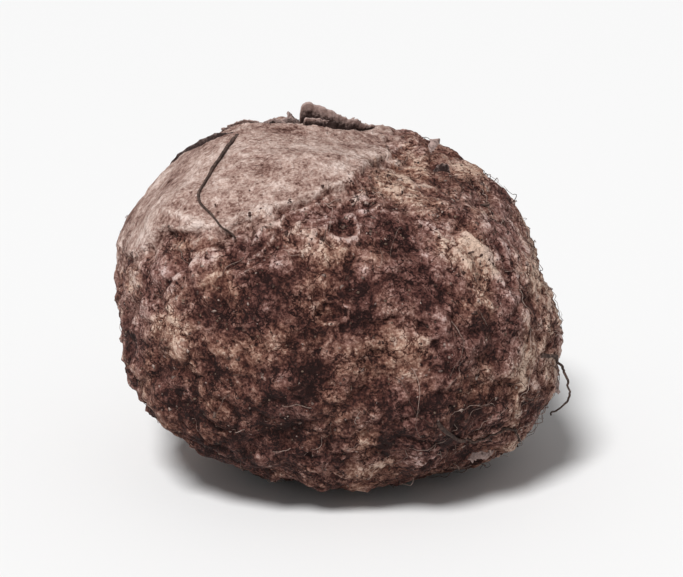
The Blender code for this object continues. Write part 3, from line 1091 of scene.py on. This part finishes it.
# Loose edges of skin. Each sheet is its azimuth, elevation, heading of its free edge in degrees,
# width, length, lift and tone.
peels = {
    "sheets": (
        (-107, 46, 60, 0.036, 0.0025, 0.0011, 0.0), (-128, 63, 45, 0.020, 0.0030, 0.0009, 0.0),
        (86, 52, -60, 0.006, 0.003, 0.0016, 0.0), (120, 50, -40, 0.012, 0.005, 0.0013, 0.65),
        (160, 28, 200, 0.014, 0.005, 0.0014, 0.65), (-160, 14, 170, 0.013, 0.006, 0.0014, 0.65),
        (-130, 22, 150, 0.011, 0.005, 0.0012, 0.65), (105, -4, 240, 0.010, 0.004, 0.0012, 0.65),
        (70, -14, 200, 0.007, 0.004, 0.0012, 0.65), (52, -34, 190, 0.009, 0.004, 0.0010, 0.65),
        (-70, -20, 170, 0.009, 0.004, 0.0010, 0.65), (178, -10, 190, 0.012, 0.005, 0.0013, 0.65),
    ),
    "rows": 9, "columns": 25, "cells": 4, "root": 0.0003, "thickness": 0.00022,
}


def makePeels():
    # each sheet is rooted in the skin along one edge; t runs to its free edge, which rises as
    # t^1.6 and is cut ragged by noise
    u, t = np.meshgrid(
        np.linspace(-1, 1, peels["columns"]), np.linspace(0, 1, peels["rows"]), indexing="xy")
    grids, tones = [], []
    for number, sheet in enumerate(peels["sheets"]):
        azimuth, elevation, heading, width, length, lift, tone = sheet
        centre = toward(azimuth, elevation)[None]
        across, along = (v[0] for v in frames(centre, np.radians([heading])))
        seeds = np.stack([u.ravel() * 2.2, t.ravel() * 0.5, 0 * t.ravel() + number * 3.7], 1)
        ragged = (0.55 + 0.40 * layered(seeds, 1.0, 51)).reshape(t.shape)
        x = u * width / 2 * (1 - 0.2 * t**2) / body["reach"]
        y = t * length * np.clip(ragged, 0.12, 1.2) * (1 - u**4) / body["reach"]
        path = centre + x[..., None] * across + y[..., None] * along
        height = lift * t**1.6 * (1 - u**4) - peels["root"] * (1 - t) ** 2 + 0.0001
        grids.append(onSkin(unit(path), height))
        tones.append(tone + 0.4 * t**3)
    addSheets("peeling_skin", grids, tones, peels["cells"], peels["thickness"])


# What is left of the leaf scales round the crown. Each sheet is its start and end turn about the
# crown in degrees (0 points at the front), distance from its middle and height at its start and
# at its end, and lean outwards. Ragged is how uneven its top is, tear how many times it is torn,
# blunt how square its ends are, and tone its foot's, the gain up to its top and the gain's power;
# the darker foot is painted shade under each scale, strongest on the tall scale.
crownScales = {
    "tall": {
        "sheets": ((21, 86, 0.0184, 0.0266, 0.0060, 0.0008, 0.55),
                   (23, 70, 0.0198, 0.0220, 0.0018, 0.0006, 0.80)),
        "thickness": 0.0005, "ragged": 0.08, "tear": 11, "blunt": 30, "salt": 71,
        "tone": (-0.35, 1.6, 1.6),
    },
    "low": {
        "sheets": ((96, 118, 0.0188, 0.0182, 0.0012, 0.0006, 1.6),
                   (-52, -12, 0.0192, 0.0198, 0.0008, 0.0007, 1.6),
                   (122, 150, 0.0176, 0.0170, 0.0014, 0.0010, 1.2),
                   (-150, -118, 0.0190, 0.0180, 0.0013, 0.0010, 1.4),
                   (176, 206, 0.0146, 0.0152, 0.0014, 0.0012, 1.0),
                   (68, 118, 0.0112, 0.0106, 0.0014, 0.0010, 0.9)),
        "thickness": 0.00028, "ragged": 0.75, "tear": 6, "blunt": 3, "salt": 75,
        "tone": (0.70, 0.2, 4),
    },
    "bud": {
        "sheets": ((0, 150, 0.0044, 0.0044, 0.0030, 0.0026, -0.45),
                   (110, 250, 0.0048, 0.0048, 0.0028, 0.0030, -0.42),
                   (220, 380, 0.0052, 0.0052, 0.0026, 0.0022, -0.40),
                   (40, 170, 0.0030, 0.0030, 0.0034, 0.0030, -0.30)),
        "thickness": 0.0004, "ragged": 0.35, "tear": 5, "blunt": 5, "salt": 79,
        "tone": (0.35, 0.5, 4),
    },
}


crownSheets = {
    "rows": 15, "columns": 81, "cells": 3, "root": 0.0007,
    "wave": (0.8, 0.0005), "grit": (0.4, 0.0004),  # size, height
}


def makeCrownScales(name, kind):
    # each sheet follows an arc round the crown, rooted under the skin, with a ragged top edge
    axis = toward(*crown["place"])
    front = unit(np.array((0, -1.0, 0)) - axis * (axis @ (0, -1.0, 0)))
    side = np.cross(front, axis)
    turn, t = np.meshgrid(
        np.linspace(0, 1, crownSheets["columns"]), np.linspace(0, 1, crownSheets["rows"]),
        indexing="xy")
    low, gain, power = kind["tone"]
    grids = []
    for number, sheet in enumerate(kind["sheets"]):
        start, end, startAway, endAway, height, endHeight, lean = sheet
        angle = np.radians(start + (end - start) * turn)
        away = startAway + (endAway - startAway) * turn
        seeds = [turn.ravel() * kind["tear"], t.ravel() * 0.6, 0 * t.ravel() + number * 5.3]
        seeds = np.stack(seeds, 1)
        ragged = 0.85 + kind["ragged"] * layered(seeds, 1.0, kind["salt"]).reshape(t.shape)
        ends = 1 - np.abs(2 * turn - 1) ** kind["blunt"]
        rise = (height + (endHeight - height) * turn) * np.clip(ragged, 0.15, 1.25) * ends
        size, swing = crownSheets["wave"]
        wavy = swing * layered(seeds + 9, size, kind["salt"] + 3).reshape(t.shape)
        size, swing = crownSheets["grit"]
        wavy += swing * layered(seeds * (1, 8, 1) + 9, size, kind["salt"] + 5).reshape(t.shape)
        reach = (away + wavy + lean * rise * t**2) / crown["reach"]
        ring = np.cos(angle)[..., None] * front - np.sin(angle)[..., None] * side
        path = unit(axis + np.tan(reach)[..., None] * ring)
        foot = unit(axis + np.tan(away / crown["reach"])[..., None] * ring)
        onTop = onSkin(foot) + path * (rise * t - crownSheets["root"] * (1 - t))[..., None]
        slide = (reach * crown["reach"] - away)[..., None] * ring
        grids.append(onTop + slide)
    # darker at the foot as painted shade under the scale, paler up to its top
    tones = [low + gain * t**power] * len(grids)
    return addSheets(name, grids, tones, crownSheets["cells"], kind["thickness"])


makePeels()
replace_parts(makeCrownScales("crown_scale_tall", crownScales["tall"]), "crown_scale")
makeCrownScales("crown_scales_low", crownScales["low"])
makeCrownScales("crown_bud_scales", crownScales["bud"])
print("peels and crown scales on")


# ---- floor, light and camera

studio = {
    "floorHalf": 3.0,
    "floorColour": (0.84, 0.84, 0.84, 1),
    "floorFinish": (0.7, 0.3),  # roughness, specular
    "worldColour": (1.0, 1.0, 1.0, 1),
    "worldStrength": 0.30,  # the camera itself sees it at full strength
    "lens": 120,
    "sensor": 36,
    "elevation": 18,
    "fill": 0.66,  # the object's share of the picture's width
    "sun": (-24, 56, 16, 3.3),  # azimuth, elevation, how wide it looks in degrees, strength
}


def makeStudio():
    low, high = (np.array(corner) for corner in cadBox)
    target = (low + high) / 2
    half = studio["floorHalf"]
    mesh = bpy.data.meshes.new("floor")
    corners = [(-half, -half, 0), (half, -half, 0), (half, half, 0), (-half, half, 0)]
    mesh.from_pydata(corners, [], [(0, 1, 2, 3)])
    floorMaterial, _, shader, _ = newMaterial("floor", *studio["floorFinish"])
    shader.inputs["Base Color"].default_value = studio["floorColour"]
    mesh.materials.append(floorMaterial)
    floor = bpy.data.objects.new("floor", mesh)
    bpy.context.scene.collection.objects.link(floor)

    world = bpy.data.worlds.new("studio")
    world.use_nodes = True
    background = world.node_tree.nodes["Background"]
    background.inputs["Color"].default_value = studio["worldColour"]
    seen = put(world.node_tree, "LightPath").outputs["Is Camera Ray"]
    strength = ramp(world.node_tree, seen, 0.0, 1.0, studio["worldStrength"], 1.0)
    world.node_tree.links.new(strength, background.inputs["Strength"])
    bpy.context.scene.world = world

    azimuth, elevation, wide, strength = studio["sun"]
    lamp = bpy.data.lights.new("key", "SUN")
    lamp.angle = np.radians(wide)
    lamp.energy = strength
    holder = bpy.data.objects.new("key", lamp)
    holder.rotation_euler = Vector(toward(azimuth, elevation)).to_track_quat("Z", "Y").to_euler()
    bpy.context.scene.collection.objects.link(holder)

    width = (high[0] - low[0]) / studio["fill"]
    distance = width * studio["lens"] / studio["sensor"]
    camera = bpy.data.cameras.new("camera")
    camera.lens = studio["lens"]
    camera.sensor_width = studio["sensor"]
    camera.clip_end = 20
    place = Vector(target + toward(0, studio["elevation"]) * distance)
    holder = bpy.data.objects.new("camera", camera)
    holder.location = place
    holder.rotation_euler = (place - Vector(target)).to_track_quat("Z", "Y").to_euler()
    bpy.context.scene.collection.objects.link(holder)
    bpy.context.scene.camera = holder
    bpy.context.scene.view_settings.view_transform = "Standard"


makeStudio()
print("studio ready")
